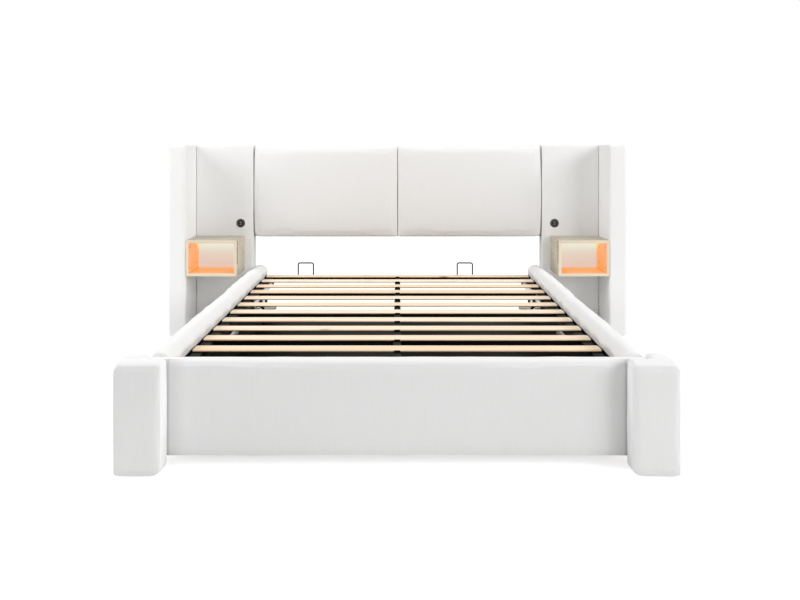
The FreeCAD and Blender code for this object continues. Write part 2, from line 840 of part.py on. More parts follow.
def stud(x_wall, y, z):
    """A shouldered stud that stands inwards from a wall at x_wall and carries a strut eye."""
    x0 = strut_x - eye_width / 2 - side_play
    x1 = strut_x + eye_width / 2 + side_play
    parts = [
        rod_x(x1, x_wall, y, z, stud_shoulder_radius), rod_x(x0 - stud_head_height, x1, y, z, stud_radius),
        rod_x(x0 - stud_head_height, x0, y, z, stud_head_radius),
    ]
    return joined(parts)


def base_plate(side):
    """The plate on the rail board: hinge pin seat above, cylinder stud below."""
    plate = block(
        plate_face, well_half, y_cylinder - base_plate_margin, y_hinge + base_plate_margin,
        z_cylinder - base_plate_margin, z_hinge + base_plate_margin)
    plate = eased(plate, base_plate_corner, lambda mid, way: abs(way.x) > 0.5)
    return placed(side, joined([plate, stud(plate_face, y_cylinder, z_cylinder)]))


def hinge_pin(side):
    """Collar against the plate, shaft through tube and arm, nut on the inner end."""
    parts = [
        rod_x(platform_half + side_play, plate_face, y_hinge, z_hinge, pin_collar_radius),
        rod_x(arm_inner - side_play - pin_nut_height, plate_face, y_hinge, z_hinge, hinge_pin_radius),
        rod_x(
            arm_inner - side_play - pin_nut_height, arm_inner - side_play, y_hinge, z_hinge,
            pin_nut_radius),
    ]
    return placed(side, joined(parts))


def lift_arm(side):
    """A flat bar along the inside of the side tube, with a lug that drops to the rod stud."""
    bar = block(
        arm_inner, tube_inner, y_rod - arm_tail, y_hinge + arm_tail, z_hinge - arm_height / 2,
        z_hinge + arm_height / 2)
    bar = eased(bar, arm_height / 3, lambda mid, way: abs(way.x) > 0.5)
    lug = block(
        arm_inner, tube_inner, y_rod - arm_lug_radius, y_rod + arm_lug_radius, z_rod,
        z_hinge).fuse(rod_x(arm_inner, tube_inner, y_rod, z_rod, arm_lug_radius))
    bore = rod_x(
        arm_inner - overrun, tube_inner + overrun, y_hinge, z_hinge, hinge_pin_radius + pin_clearance)
    return placed(side, joined([bar, lug, stud(arm_inner, y_rod, z_rod)]).cut(bore))


def along_strut(distance, radius, start=0.0):
    """A round bar from the cylinder stud towards the rod stud."""
    run = vec(0, y_rod - y_cylinder, z_rod - z_cylinder)
    way = vec(run.x, run.y, run.z).normalize()
    origin = vec(strut_x, y_cylinder, z_cylinder) + way * start
    return Part.makeCylinder(radius, distance - start, origin, way)


def gas_springs():
    """Pressure tube on the lower stud, rod on the lug of the arm, one inside the other."""
    eye_bore = stud_radius + pin_clearance
    length = math.hypot(y_rod - y_cylinder, z_rod - z_cylinder)
    neck = eye_radius + cylinder_neck_length
    eye0 = strut_x - eye_width / 2
    eye1 = strut_x + eye_width / 2
    for side, name in ((-1, "left"), (1, "right")):
        hollow = along_strut(cylinder_length + overrun, cylinder_bore_radius, neck + cylinder_neck_length)
        body = joined([
            along_strut(cylinder_length, cylinder_outer_radius, neck),
            along_strut(neck + overrun, cylinder_neck_radius),
            rod_x(eye0, eye1, y_cylinder, z_cylinder, eye_radius),
        ])
        body = body.cut(hollow).cut(rod_x(eye0 - overrun, eye1 + overrun, y_cylinder, z_cylinder, eye_bore))
        save("gas_cylinder_" + name, [placed(side, body)])
        rod = joined([
            along_strut(length, rod_radius, cylinder_length - rod_guide_overlap),
            rod_x(eye0, eye1, y_rod, z_rod, eye_radius),
        ])
        rod = rod.cut(rod_x(eye0 - overrun, eye1 + overrun, y_rod, z_rod, eye_bore))
        save("gas_rod_" + name, [placed(side, rod)])


def lift_gear():
    for side, name in ((-1, "left"), (1, "right")):
        save("lift_base_plate_" + name, [base_plate(side)])
        save("lift_arm_" + name, [lift_arm(side)])
    save("lift_pivot_pins", [hinge_pin(-1), hinge_pin(1)])
    gas_springs()


os.makedirs("parts", exist_ok=True)
headboard_columns()
headboard_wings()
headboard_middle()
charging_sockets()
shelf_boxes()
side_rails()
footboard()
foot_posts()
base_brackets()
storage_floor()
floor_glides()
platform_tubes()
slats()
slat_seats()
mattress_stops()
lift_gear()
print("overall", 2 * wing_outer, overall_length, headboard_height)
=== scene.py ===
import json
import math

import bmesh
import bpy
import numpy as np
from mathutils.kdtree import KDTree
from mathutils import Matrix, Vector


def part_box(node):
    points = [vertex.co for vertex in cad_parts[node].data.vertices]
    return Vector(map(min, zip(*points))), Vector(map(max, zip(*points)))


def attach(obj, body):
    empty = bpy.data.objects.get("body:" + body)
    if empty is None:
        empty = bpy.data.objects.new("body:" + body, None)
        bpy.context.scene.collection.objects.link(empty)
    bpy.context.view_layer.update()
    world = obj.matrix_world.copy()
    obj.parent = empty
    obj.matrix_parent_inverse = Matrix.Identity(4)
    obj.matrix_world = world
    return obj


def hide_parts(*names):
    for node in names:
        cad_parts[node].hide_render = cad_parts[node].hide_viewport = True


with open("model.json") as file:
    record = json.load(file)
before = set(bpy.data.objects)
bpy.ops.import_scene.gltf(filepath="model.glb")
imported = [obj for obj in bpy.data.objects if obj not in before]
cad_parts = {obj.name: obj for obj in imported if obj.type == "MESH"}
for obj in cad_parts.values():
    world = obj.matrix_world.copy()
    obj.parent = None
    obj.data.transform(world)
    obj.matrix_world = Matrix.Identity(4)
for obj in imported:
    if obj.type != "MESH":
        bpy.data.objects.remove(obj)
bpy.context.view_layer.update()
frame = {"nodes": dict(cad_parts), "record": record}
nodes = frame["nodes"]
print("frame: nodes", len(nodes))


# room and camera
view = {"place": (0.005, -3.8, 1.057), "lens": 37.575, "sensor": 36.0, "shiftX": 0.0019, "shiftY": -0.1938}
room = {
    "floorTone": (0.86, 0.86, 0.855), "floorGlow": 0.72, "floorReach": 30.0,
    "skyTone": (1.0, 1.0, 1.0), "skyLevel": 0.43,
    "lamps": (
        ("keyLamp", (5.98, -5.48, 3.58), (0.0, 0.5, 0.5), 3.4, 217.0),
        ("sideLamp", (7.98, -1.2, 4.3), (0.0, 0.5, 0.5), 3.4, 232.0),
        ("leftLamp", (-4.2, -0.6, 2.8), (0.0, 0.5, 0.5), 2.4, 108.0),
        ("topLamp", (0.0, -0.2, 4.4), (0.0, 0.5, 0.5), 3.0, 42.0),
    ),
}


class Signal:
    # one output socket; an operator on it adds the Math node that works the value out
    def __init__(self, finish, socket):
        self.finish, self.socket = finish, socket

    def through(self, operation, *others):
        return self.finish.node("ShaderNodeMath", {"operation": operation}, dict(enumerate((self,) + others)))

    def __add__(self, other):
        return self.through("ADD", other)

    def __sub__(self, other):
        return self.through("SUBTRACT", other)

    def __mul__(self, other):
        return self.through("MULTIPLY", other)

    def __truediv__(self, other):
        return self.through("DIVIDE", other)

    def __pow__(self, other):
        return self.through("POWER", other)

    __radd__ = __add__

    def above(self, edge):
        return self.through("GREATER_THAN", edge)

    def below(self, edge):
        return self.through("LESS_THAN", edge)

    def smaller(self, other):
        return self.through("MINIMUM", other)

    def larger(self, other):
        return self.through("MAXIMUM", other)

    def size(self):
        return self.through("ABSOLUTE")

    def held(self):
        return self.smaller(1.0).larger(0.0)

    def wave(self, pitch):
        return (self * (2 * math.pi / pitch)).through("SINE")


class Finish:
    # the node tree of one material
    def __init__(self, name):
        self.material = bpy.data.materials.new(name)
        self.material.use_nodes = True
        self.tree = self.material.node_tree
        self.tree.nodes.clear()

    def feed(self, socket, value):
        if isinstance(value, Signal):
            self.tree.links.new(value.socket, socket)
        else:
            socket.default_value = value

    def node(self, kind, settings=None, sockets=None, out=0):
        made = self.tree.nodes.new(kind)
        for key, value in (settings or {}).items():
            setattr(made, key, value)
        for key, value in (sockets or {}).items():
            self.feed(made.inputs[key], value)
        return Signal(self, made.outputs[out] if made.outputs else None)

    def outputs(self, kind, sockets=None):
        # every output of a new node, by name
        made = self.node(kind, None, sockets).socket.node
        return {socket.name: Signal(self, socket) for socket in made.outputs}

    def place(self, source="Object"):
        return self.outputs("ShaderNodeTexCoord")[source]

    def axes(self, vector):
        return list(self.outputs("ShaderNodeSeparateXYZ", {0: vector}).values())

    def vector(self, x, y, z):
        return self.node("ShaderNodeCombineXYZ", None, {0: x, 1: y, 2: z})

    def noise(self, vector, scale, detail, rough):
        return self.node(
            "ShaderNodeTexNoise", None,
            {"Vector": vector, "Scale": scale, "Detail": detail, "Roughness": rough})

    def stretched(self, vector, scale):
        return self.node(
            "ShaderNodeVectorMath", {"operation": "MULTIPLY"}, {0: vector, 1: scale})

    def between(self, share, first, second):
        # share 0 gives the first colour, 1 the second
        return self.node(
            "ShaderNodeMix", {"data_type": "RGBA"}, {0: share, 6: first, 7: second}, out=2)

    def ranged(self, value, low, high, first=0.0, second=1.0):
        return self.node(
            "ShaderNodeMapRange", {"interpolation_type": "SMOOTHSTEP"},
            {0: value, 1: low, 2: high, 3: first, 4: second})

    def bump(self, height, depth, strength, **under):
        return self.node(
            "ShaderNodeBump", None, {"Height": height, "Distance": depth, "Strength": strength, **under})

    def close(self, **values):
        # the Principled shader with its sockets named in camelCase, and the output
        names = {
            "color": "Base Color", "roughness": "Roughness", "metallic": "Metallic", "normal": "Normal",
            "glow": "Emission Color", "glowLevel": "Emission Strength", "sheen": "Sheen Weight",
            "sheenRoughness": "Sheen Roughness", "coat": "Coat Weight", "specular": "Specular IOR Level",
        }
        shader = self.node(
            "ShaderNodeBsdfPrincipled", None, {names[key]: value for key, value in values.items()})
        self.node("ShaderNodeOutputMaterial", None, {0: shader})
        return self.material


def tone(red, green, blue):
    # an sRGB colour of 0 to 255 as linear light, with alpha
    def linear(level):
        level = level / 255
        return level / 12.92 if level <= 0.04045 else ((level + 0.055) / 1.055) ** 2.4
    return (linear(red), linear(green), linear(blue), 1.0)


def linked(name, data):
    holder = bpy.data.objects.new(name, data)
    bpy.context.scene.collection.objects.link(holder)
    return holder


def aimed(name, data, place, target):
    # turned so that its own -Z looks at the target
    holder = linked(name, data)
    away = np.array(place, float) - np.array(target, float)
    flat = math.hypot(away[0], away[1])
    holder.location = place
    holder.rotation_euler = (math.atan2(flat, away[2]), 0.0, math.atan2(away[0], -away[1]))


def setCamera(view):
    data = bpy.data.cameras.new("photoCamera")
    data.sensor_width = view["sensor"]
    data.lens = view["lens"]
    data.shift_x = view["shiftX"]
    data.shift_y = view["shiftY"]
    data.clip_end = 100.0
    data.dof.use_dof = False
    holder = linked("photoCamera", data)
    holder.location = view["place"]
    holder.rotation_euler = (math.radians(90.0), 0.0, 0.0)
    bpy.context.scene.camera = holder


def lightRoom(room):
    # a white surround for camera, glossy and transmission rays; a softer one lights the object
    world = bpy.data.worlds.new("studioWorld")
    bpy.context.scene.world = world
    world.use_nodes = True
    tree = world.node_tree
    tree.nodes.clear()
    path = tree.nodes.new("ShaderNodeLightPath")
    shown = path.outputs["Is Camera Ray"]
    for kind in ("Is Transmission Ray", "Is Glossy Ray"):
        either = tree.nodes.new("ShaderNodeMath")
        either.operation = "MAXIMUM"
        tree.links.new(shown, either.inputs[0])
        tree.links.new(path.outputs[kind], either.inputs[1])
        shown = either.outputs[0]
    level = tree.nodes.new("ShaderNodeMapRange")
    tree.links.new(shown, level.inputs[0])
    level.inputs[3].default_value = room["skyLevel"]
    level.inputs[4].default_value = 1.0
    sky = tree.nodes.new("ShaderNodeBackground")
    sky.inputs[0].default_value = tuple(room["skyTone"]) + (1.0,)
    tree.links.new(level.outputs[0], sky.inputs[1])
    output = tree.nodes.new("ShaderNodeOutputWorld")
    tree.links.new(sky.outputs[0], output.inputs[0])
    for name, place, target, width, power in room["lamps"]:
        data = bpy.data.lights.new(name, "AREA")
        data.shape = "SQUARE"
        data.size = width
        data.energy = power
        aimed(name, data, place, target)


def layFloor(room):
    # one big square at floor level; its own glow lifts it to white, and the shadow stays
    reach = room["floorReach"]
    mesh = bpy.data.meshes.new("studioFloor")
    mesh.from_pydata(
        [(-reach, -reach, 0), (reach, -reach, 0), (reach, reach, 0), (-reach, reach, 0)], [], [(0, 1, 2, 3)])
    floor = linked("studioFloor", mesh)
    finish = Finish("studioFloor")
    ray = finish.outputs("ShaderNodeLightPath")
    shown = ray["Is Camera Ray"].larger(ray["Is Glossy Ray"]).larger(ray["Is Transmission Ray"])
    matte = finish.node("ShaderNodeBsdfDiffuse", None, {0: tuple(room["floorTone"]) + (1.0,)})
    glow = finish.node("ShaderNodeEmission", None, {0: (1, 1, 1, 1), 1: shown * room["floorGlow"]})
    both = finish.node("ShaderNodeAddShader", None, {0: matte, 1: glow})
    finish.node("ShaderNodeOutputMaterial", None, {0: both})
    mesh.materials.append(finish.material)


bpy.context.scene.view_settings.view_transform = "Standard"
setCamera(view)
lightRoom(room)
layFloor(room)
print("room: camera, lamps and floor")


# finishes, one for each material slot
black = (0.0, 0.0, 0.0, 1.0)
cloth = {
    "tone": (239, 239, 239), "slubTone": (236.5, 236.5, 236), "thread": 0.0016, "slubWide": 230.0,
    "slubLong": 9.0, "acrossShare": 0.14, "slubRange": (0.36, 0.66), "cloud": (6.0, 4.0),
    "shares": (0.75, 0.12, 0.25, -0.06), "weaveDepth": 0.0001, "weaveStrength": 0.6, "slubDepth": 0.00006,
    "slubStrength": 0.22, "roughness": 0.92, "specular": 0.25, "sheen": 0.2, "sheenRoughness": 0.4,
    "jointShade": 0.16, "jointShadeReach": 0.07, "jointLineShade": 0.14, "jointLineShadeFrom": 0.007, "jointLineShadeTo": 0.001,
    "jointFront": 0.004, "jointDeep": 0.02,
}


def linenFinish(cloth):
    # u runs across and v up the cloth, in metres: plain weave of both thread sets, over long upright slubs
    finish = Finish("upholstery_fabric")
    u, v = finish.axes(finish.place("UV"))[:2]
    over = u.wave(cloth["thread"]) * v.wave(cloth["thread"])
    weave = over * 0.5 + 0.5
    upright = finish.noise(finish.vector(u * cloth["slubWide"], v * cloth["slubLong"], 0.0), 1.0, 3.0, 0.6)
    across = finish.noise(
        finish.vector(u * cloth["slubLong"], v * cloth["slubWide"] * 0.8, 7.0), 1.0, 2.0, 0.5)
    acrossShare = cloth["acrossShare"]
    slub = finish.ranged(upright * (1 - acrossShare) + across * acrossShare, *cloth["slubRange"])
    cloud = finish.noise(finish.vector(u * cloth["cloud"][0], v * cloth["cloud"][1], 3.0), 1.0, 2.0, 0.5)
    slubShare, weaveShare, cloudShare, base = cloth["shares"]
    share = (slub * slubShare + weave * weaveShare + cloud * cloudShare + base).held()
    color = finish.between(share, tone(*cloth["slubTone"]), tone(*cloth["tone"]))
    # painted shade: where the footboard's cloth dives in behind the posts its colour is darkened towards black,
    # softly over the last stretch and most in a narrow line at the joint
    x, y, z = finish.axes(finish.place())
    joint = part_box("foot_post_front_pad_right")
    edge = joint[0].x
    jointShade = finish.ranged(x.size(), edge - cloth["jointShadeReach"], edge) * cloth["jointShade"]
    jointShade = jointShade + finish.ranged(
        x.size(), edge - cloth["jointLineShadeFrom"], edge - cloth["jointLineShadeTo"]) * cloth["jointLineShade"]
    onBoard = (y.above(joint[1].y - cloth["jointFront"]) * y.below(joint[1].y + cloth["jointDeep"])
               * x.size().below(edge + cloth["jointDeep"]))
    color = finish.between(jointShade * onBoard, color, black)
    fine = finish.bump(weave, cloth["weaveDepth"], cloth["weaveStrength"])
    return finish.close(
        color=color, roughness=cloth["roughness"], specular=cloth["specular"], sheen=cloth["sheen"],
        sheenRoughness=cloth["sheenRoughness"],
        normal=finish.bump(slub, cloth["slubDepth"], cloth["slubStrength"], Normal=fine))


pine = {
    "pale": (252, 232, 207), "warm": (246, 217, 183), "ring": (222, 176, 128), "knot": (134, 84, 44),
    # edge is the dark brown of the painted shade along a slat's low edge
    "edge": (112, 80, 52), "edgeTall": 0.005, "edgeShare": 0.85, "pitch": 0.16939, "apart": 9.0,
    "warp": (1.3, 9.0, 9.0), "warpShare": 5.0, "rings": (1.1, 130.0, 120.0), "ringShare": 0.55,
    "pores": (14.0, 900.0, 900.0), "knots": (2.6, 11.0), "knotCore": 0.045, "knotRim": 0.12, "knotShare": 0.8,
    "grainDepth": 0.0006, "roughness": 0.55,
}


def pineFinish(name, pine):
    # grain runs along X: stretched noise for the rings, one tone step for each board, a few knots
    finish = Finish(name)
    along, side, z = finish.axes(finish.place())
    board = (side / pine["pitch"]).through("FLOOR")
    own = finish.node("ShaderNodeTexWhiteNoise", {"noise_dimensions": "1D"}, {"W": board})
    shifted = along + own * pine["apart"]

    def stretched(key, shift=0.0):
        long, wide, tall = pine[key]
        return finish.vector(shifted * long, side * wide + shift, z * tall)

    warp = finish.noise(stretched("warp"), 1.0, 2.0, 0.5)
    rings = finish.noise(stretched("rings", warp * pine["warpShare"]), 1.0, 3.0, 0.55)
    pores = finish.noise(stretched("pores"), 1.0, 2.0, 0.6)
    base = finish.between(
        finish.ranged(own * 0.6 + warp * 0.5, 0.25, 0.85), tone(*pine["pale"]), tone(*pine["warm"]))
    grain = finish.between(
        finish.ranged(rings, 0.50, 0.72) * pine["ringShare"], base, tone(*pine["ring"]))
    spread = finish.vector(shifted * pine["knots"][0], side * pine["knots"][1], 0.0)
    cells = finish.node(
        "ShaderNodeTexVoronoi", {"feature": "F1"}, {"Vector": spread, "Scale": 1.0, "Randomness": 1.0})
    knot = finish.ranged(cells, pine["knotCore"], pine["knotRim"], 1.0, 0.0)
    color = finish.between(knot * pine["knotShare"], grain, tone(*pine["knot"]))
    if "under" in pine:
        # painted shade: the lowest few millimetres of a slat's edges are darkened towards a dark brown, for the
        # shade under its rounded edge
        low = finish.ranged(z, pine["under"], pine["under"] + pine["edgeTall"], pine["edgeShare"], 0.0)
        color = finish.between(low, color, tone(*pine["edge"]))
    height = rings * 0.6 + pores * 0.4
    return finish.close(
        color=color, roughness=pine["roughness"] + pores * 0.15, specular=0.35,
        normal=finish.bump(height, pine["grainDepth"], 0.35))


def boardFinish(name, base, fleck, rough, depth):
    # flat faced board: fine grain in the film, slight mottling
    finish = Finish(name)
    place = finish.place()
    grain = finish.noise(finish.stretched(place, (6.0, 60.0, 60.0)), 1.0, 4.0, 0.6)
    mottle = finish.noise(place, 14.0, 2.0, 0.5)
    color = finish.between(finish.ranged(grain * 0.7 + mottle * 0.3, 0.35, 0.65), tone(*base), tone(*fleck))
    return finish.close(
        color=color, roughness=rough + grain * 0.12, specular=0.1, normal=finish.bump(grain, depth, 0.4))


def paintFinish(name, base, rough, peel=0.00018, coat=0.0, specular=0.4):
    # sprayed or moulded surface: orange-peel bump and faint wear in the sheen
    finish = Finish(name)
    place = finish.place()
    skin = finish.noise(place, 900.0, 2.0, 0.5)
    wear = finish.noise(place, 17.0, 3.0, 0.6)
    worn = tone(*[min(255, level * 1.25 + 4) for level in base])
    color = finish.between(finish.ranged(wear, 0.35, 0.75) * 0.5, tone(*base), worn)
    return finish.close(
        color=color, roughness=rough + wear * 0.14, metallic=0.0, coat=coat, specular=specular,
        normal=finish.bump(skin, peel, 0.35))


def metalFinish(name, base, rough, streak=(40.0, 900.0, 900.0)):
    # plated sheet or ground rod: brushed streaks change the tone and the gloss
    finish = Finish(name)
    place = finish.place()
    brushed = finish.noise(finish.stretched(place, streak), 1.0, 3.0, 0.6)
    cloud = finish.noise(place, 22.0, 2.0, 0.5)
    bright = tone(*[min(255, level * 1.12 + 3) for level in base])
    color = finish.between(finish.ranged(brushed * 0.5 + cloud * 0.5, 0.3, 0.7), tone(*base), bright)
    return finish.close(
        color=color, roughness=rough + brushed * 0.12, metallic=1.0,
        normal=finish.bump(brushed, 0.00008, 0.3))


shelf = {
    "outside": (200, 191, 172), "outsideDark": (182, 172, 152), "top": (182, 173, 157),
    "edge": (226, 212, 188), "inside": (120, 92, 66), "glowHot": (252, 230, 30), "glowWarm": (250, 158, 80),
    "glowLow": (246, 166, 112), "glowEnd": (236, 140, 66), "backTop": (232, 250, 236),
    "backMiddle": (224, 222, 208), "backLow": (226, 212, 201), "cornerShade": (150, 92, 50), "cornerShadeWide": 0.0022,
    "groove": (78, 72, 52), "grooveFront": 0.006, "grooveBack": 0.026, "grooveTop": 0.004,
    "grooveLow": 0.132, "band": 0.0022, "inset": 0.0004, "glowLevel": 0.8, "grain": (14.0, 14.0, 160.0),
    "topShadeShare": 0.9, "hotFrom": 0.01, "hotTo": 0.075, "coolReach": 0.09, "coolShare": 0.8,
    "nearReach": 0.12, "nearLean": 0.1, "cornerShadeShare": 0.6, "lowPanel": (0.0, 0.5), "highPanel": (0.45, 1.0),
    "roughness": 0.42, "specular": 0.4, "grainDepth": 0.00012,
}


def shelfFinish(shelf):
    # laminate outside, cream front edges, and the light of the strip painted as glow over the inner faces:
    # hot near the strip at the upper back, amber over the walls and the floor, pale on the back panel
    finish = Finish("shelf_laminate")
    x, y, z = finish.axes(finish.place())
    lowCorner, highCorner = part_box("nightstand_right_bottom")
    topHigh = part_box("nightstand_right_top")[1]
    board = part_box("nightstand_right_outer_side")
    thick = board[1].x - board[0].x
    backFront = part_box("nightstand_right_back")[0].y
    side, inset = x.size(), shelf["inset"]
    within = (side.above(lowCorner.x + thick - inset) * side.below(highCorner.x - thick + inset)
              * z.above(lowCorner.z + thick - inset) * z.below(topHigh.z - thick + inset)
              * y.above(lowCorner.y + inset * 2))
    grain = finish.noise(finish.stretched(finish.place(), shelf["grain"]), 1.0, 4.0, 0.6)
    body = finish.between(
        finish.ranged(grain, 0.35, 0.65), tone(*shelf["outside"]), tone(*shelf["outsideDark"]))
    # painted shade: the top face is painted a darker beige than the sides
    body = finish.between(z.above(topHigh.z - inset) * shelf["topShadeShare"], body, tone(*shelf["top"]))
    front = y.below(lowCorner.y + shelf["band"])
    body = finish.between(front, body, tone(*shelf["edge"]))
    # painted shade: a dark strip stands for the inside of the lamp lead's slot, which runs down the bed side of
    # the box just behind its front edge
    groove = (side.below(lowCorner.x + inset) * y.above(lowCorner.y + shelf["grooveFront"])
              * y.below(lowCorner.y + shelf["grooveBack"]) * z.above(topHigh.z - shelf["grooveLow"])
              * z.below(topHigh.z - shelf["grooveTop"]))
    body = finish.between(groove, body, tone(*shelf["groove"]))
    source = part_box("light_strips")[0]
    reach = ((y - source.y) ** 2.0 + (z - source.z) ** 2.0).through("SQRT")
    hot = finish.ranged(reach, shelf["hotFrom"], shelf["hotTo"], 1.0, 0.0)
    drop = finish.ranged(z, lowCorner.z + thick, topHigh.z - thick)
    bedSide = lowCorner.x + thick
    cool = finish.ranged(side, bedSide, bedSide + shelf["coolReach"], 1.0, 0.0)
    near = finish.ranged(y - drop * shelf["nearLean"], lowCorner.y, lowCorner.y + shelf["nearReach"])
    warm = finish.between(near, tone(*shelf["glowLow"]), tone(*shelf["glowWarm"]))
    warm = finish.between(cool * shelf["coolShare"], warm, tone(*shelf["glowEnd"]))
    warm = finish.between(hot, warm, tone(*shelf["glowHot"]))
    # painted shade: the painted glow turns brown along the corners where two of the wing side's board, the
    # bottom board and the back panel meet
    fromWall = (side - (highCorner.x - thick)).size()
    fromFloor = (z - (lowCorner.z + thick)).size()
    fromBack = (y - backFront).size()
    corner = (fromWall + fromFloor).smaller(fromWall + fromBack).smaller(fromFloor + fromBack)
    cornerShade = corner.below(shelf["cornerShadeWide"]) * shelf["cornerShadeShare"]
    warm = finish.between(cornerShade, warm, tone(*shelf["cornerShade"]))
    panel = finish.between(
        finish.ranged(drop, *shelf["lowPanel"]), tone(*shelf["backLow"]), tone(*shelf["backMiddle"]))
    panel = finish.between(finish.ranged(drop, *shelf["highPanel"]), panel, tone(*shelf["backTop"]))
    lit = finish.between(y.above(backFront - inset), warm, panel)
    glow = finish.between(within, black, lit)
    color = finish.between(within, body, tone(*shelf["inside"]))
    return finish.close(
        color=color, roughness=shelf["roughness"] + grain * 0.1, specular=shelf["specular"], glow=glow,
        glowLevel=shelf["glowLevel"], normal=finish.bump(grain, shelf["grainDepth"], 0.4))


strip = {
    "diffuser": (255, 236, 190), "between": (255, 226, 150), "spot": (255, 250, 224), "pitch": 0.0166,
    "glowLevel": 1.6,
}


def stripFinish(strip):
    # frosted diffuser with its row of small lamps showing through as brighter spots
    finish = Finish("light_strip")
    x = finish.axes(finish.place())[0]
    spots = finish.ranged(x.wave(strip["pitch"]), 0.2, 0.9)
    glow = finish.between(spots, tone(*strip["between"]), tone(*strip["spot"]))
    return finish.close(
        color=tone(*strip["diffuser"]), roughness=0.5, glow=glow, glowLevel=strip["glowLevel"])


finishes = {
    "upholstery_fabric": linenFinish(cloth),
    "black_board": boardFinish("black_board", (17, 16, 16), (27, 26, 25), 0.7, 0.0002),
    "frame_timber": pineFinish("frame_timber", dict(pine, pitch=0.5)),
    "slat_wood": pineFinish("slat_wood", dict(pine, under=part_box("slats")[0].z)),
    "shelf_laminate": shelfFinish(shelf),
    "dark_screw_steel": metalFinish("dark_screw_steel", (70, 60, 54), 0.35),
    "zinc_steel": metalFinish("zinc_steel", (176, 178, 182), 0.3),
    "light_strip": stripFinish(strip),
    "socket_gloss_black": paintFinish("socket_gloss_black", (14, 14, 15), 0.1, coat=0.4, peel=0.00002),
    "socket_matt_black": paintFinish("socket_matt_black", (24, 24, 25), 0.48, peel=0.00006),
    "black_plastic": paintFinish("black_plastic", (17, 17, 18), 0.55, specular=0.15),
    "chromed_rod": metalFinish("chromed_rod", (214, 215, 218), 0.08, (900.0, 60.0, 900.0)),
    "cylinder_black_paint": paintFinish("cylinder_black_paint", (34, 34, 36), 0.3, peel=0.00006, coat=0.2),
    "black_steel": paintFinish("black_steel", (17, 17, 18), 0.5, specular=0.12),
}
slotOf = {part["node"]: part["material_slot"] for part in frame["record"]["subparts"]}
print("finishes:", len(finishes))


# carried-over nodes keep their mesh and get their finish, a weld and a fine eased edge of this width
edges = {
    "nightstand": 0.0008, "slats": 0.0034, "storage_floor": 0.0006, "floor_bearers": 0.0012, "ledge": 0.0012,
    "platform": 0.0016, "rail_brackets": 0.0006, "lift_base": 0.0007, "lift_arm": 0.0007, "support": 0.0014,
    "headboard_back": 0.0012, "foot_post_frames": 0.0012, "slat_end": 0.0004, "slat_centre": 0.0005,
}
easing = {"weld": 0.00002, "segments": 2, "sharp": 30.0}


def easeEdges(node, width):
    # weld the loose triangles, then round every corner sharper than the given angle by the width
    holder = nodes[node]
    holder.data.polygons.foreach_set("use_smooth", np.ones(len(holder.data.polygons), bool))
    weld = holder.modifiers.new("weld", "WELD")
    weld.merge_threshold = easing["weld"]
    bevel = holder.modifiers.new("easedEdge", "BEVEL")
    bevel.width = width
    bevel.segments = easing["segments"]
    bevel.limit_method = "ANGLE"
    bevel.angle_limit = math.radians(easing["sharp"])
    bevel.harden_normals = True


for node, holder in nodes.items():
    holder.data.materials.clear()
    holder.data.materials.append(finishes[slotOf[node]])
    width = next((size for start, size in edges.items() if node.startswith(start)), 0.0)
    if width:
        easeEdges(node, width)
print("carried nodes:", len(nodes))


def vertexValues(mesh, key):
    values = np.empty(len(mesh.vertices) * 3)
    mesh.vertices.foreach_get(key, values)
    return values.reshape(-1, 3)


def setPlaces(mesh, places):
    mesh.vertices.foreach_set("co", places.ravel())
    mesh.update()


# each pad is a stack of rounded outlines along Y, closed by outlines that shrink to a line
def outline(box, radii, counts):
    # box is (x0, x1, z0, z1); quarter circles at the four corners from the low left one, counter-clockwise,
    # joined by straight runs that are shared out evenly
    x0, x1, z0, z1 = box
    limit = max(min(x1 - x0, z1 - z0) / 2 - 1e-5, 0.0)
    corners = ((x0, z0, 1, 1), (x1, z0, -1, 1), (x1, z1, -1, -1), (x0, z1, 1, -1))
    arcs = []
    for index, (x, z, side, level) in enumerate(corners):
        radius = min(radii[index], limit)
        angle = math.pi + index * math.pi / 2 + np.linspace(0, math.pi / 2, counts["corner"])
        arcs.append(np.stack([
            x + side * radius + radius * np.cos(angle), z + level * radius + radius * np.sin(angle)], 1))
    runs = []
    for index, arc in enumerate(arcs):
        count = counts["wide"] if index % 2 == 0 else counts["tall"]
        share = np.linspace(0, 1, count + 2)[1:-1, None]
        runs += [arc, arc[-1] * (1 - share) + arcs[(index + 1) % 4][0] * share]
    return np.concatenate(runs)


def stationRings(box, radii, stations, counts):
    # each station is (y, draw at x0, at x1, below, above, share of the radii that is left)
    rings = []
    for y, left, right, low, high, share in stations:
        flat = outline(
            (box[0] + left, box[1] - right, box[4] + low, box[5] - high), [r * share for r in radii], counts)
        rings.append(np.stack([flat[:, 0], np.full(len(flat), y), flat[:, 1]], 1))
    return np.array(rings)


def rolled(face, way, rolls, draws, count):
    # each side has its own quarter ellipse, from the flat face, where the outline is drawn in, to the wall:
    # draw (1 - sqrt(1 - (1 - t)^2)), t the depth over the side's own roll; way 1 goes back, -1 comes forward
    depths = max(rolls) * (1 - np.cos(np.linspace(0, math.pi / 2, count)))
    stations = []
    for depth in depths:
        left = [max(1 - depth / roll, 0.0) for roll in rolls]
        inward = tuple(draw * (1 - math.sqrt(1 - part * part)) for draw, part in zip(draws, left))
        stations.append((face + way * depth,) + inward + (1.0,))
    return stations


def crowned(box, face, draws, crown, power, count):
    # outlines shrink from the edge to the middle while the face rises: (1 - (1 - s)^n)^(1/n) of the crown
    half = min(box[1] - box[0] - draws[0] - draws[1], box[5] - box[4] - draws[2] - draws[3]) / 2
    share = np.linspace(0, 1, count + 1) ** 1.25
    rise = (1 - (1 - share) ** power) ** (1 / power)
    return [(face + crown * up,) + tuple(d + half * s for d in draws) + (1 - s,)
            for s, up in zip(share, rise)]


def boxCorners(box):
    return np.array([box[0], box[2], box[4]]), np.array([box[1], box[3], box[5]])


